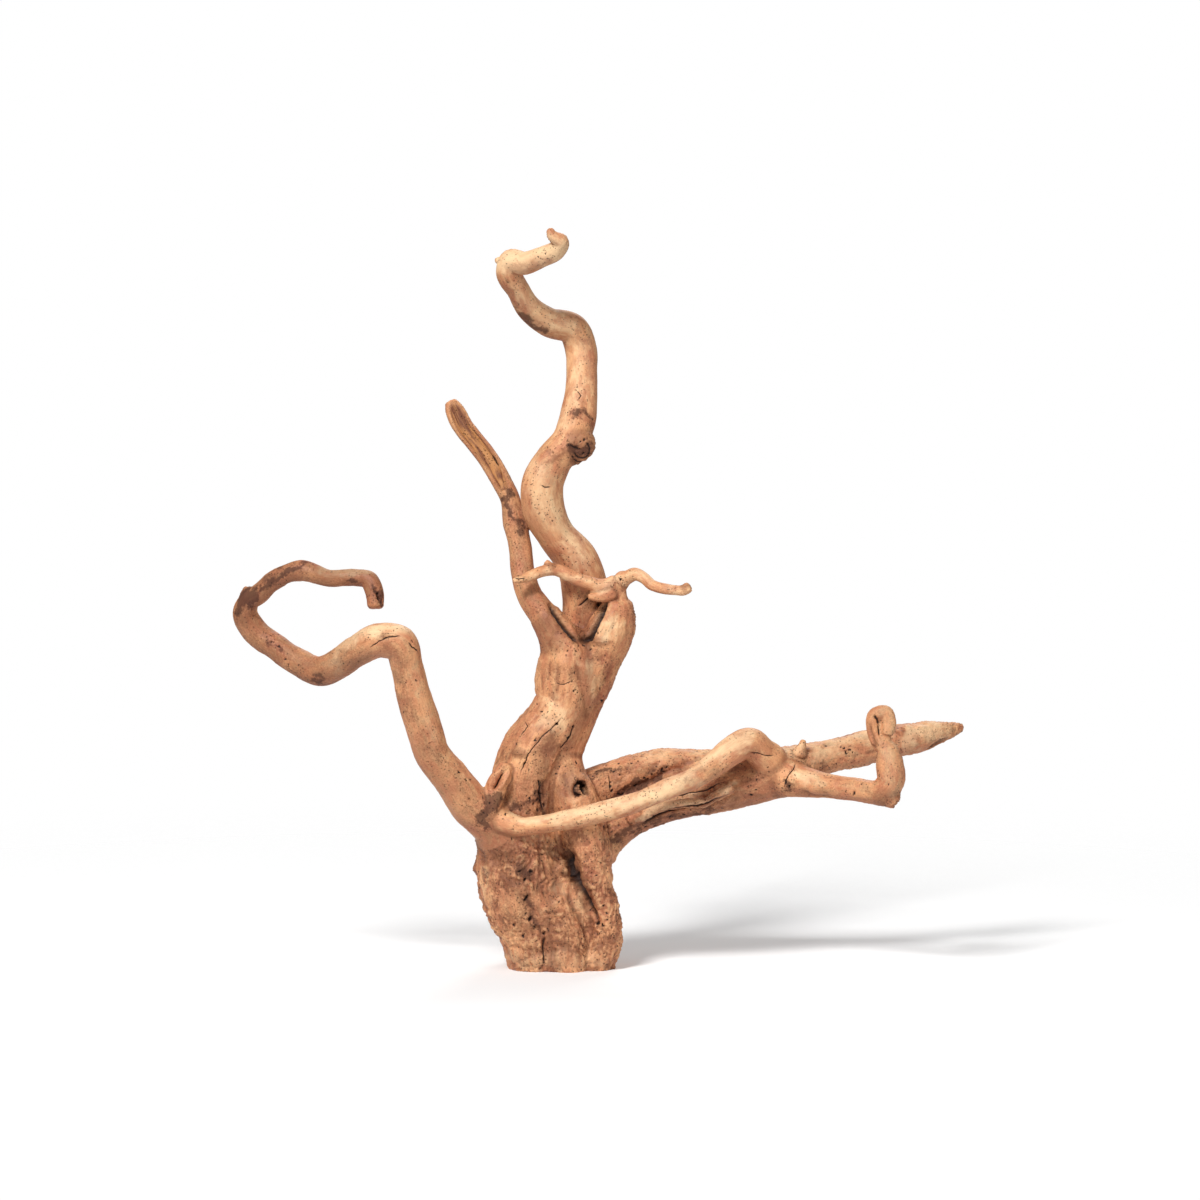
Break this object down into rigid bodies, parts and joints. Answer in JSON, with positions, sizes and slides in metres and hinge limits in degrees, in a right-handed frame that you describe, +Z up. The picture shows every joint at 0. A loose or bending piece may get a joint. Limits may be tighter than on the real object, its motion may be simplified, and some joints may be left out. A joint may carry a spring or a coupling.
{
  "type": "piece of driftwood",
  "caption": "Twisted root driftwood that stands on its flat sawn base, with a tall crooked limb, a split spur, a hooked limb and a thick side limb.",
  "frame": {"origin": "the middle of the flat sawn base", "axes": "+Z up, +X to the right seen from the front, towards the thick side limb, and -Y to the front"},
  "size_m": [0.3956, 0.1235, 0.3996],
  "materials": {
    "bare_wood": "bare weathered wood, stripped of bark, tan with darker pits and a few bark patches, satin to matte"
  },
  "bodies": {
    "root": {"driftwood": "bare_wood"}
  },
  "joints": []
}
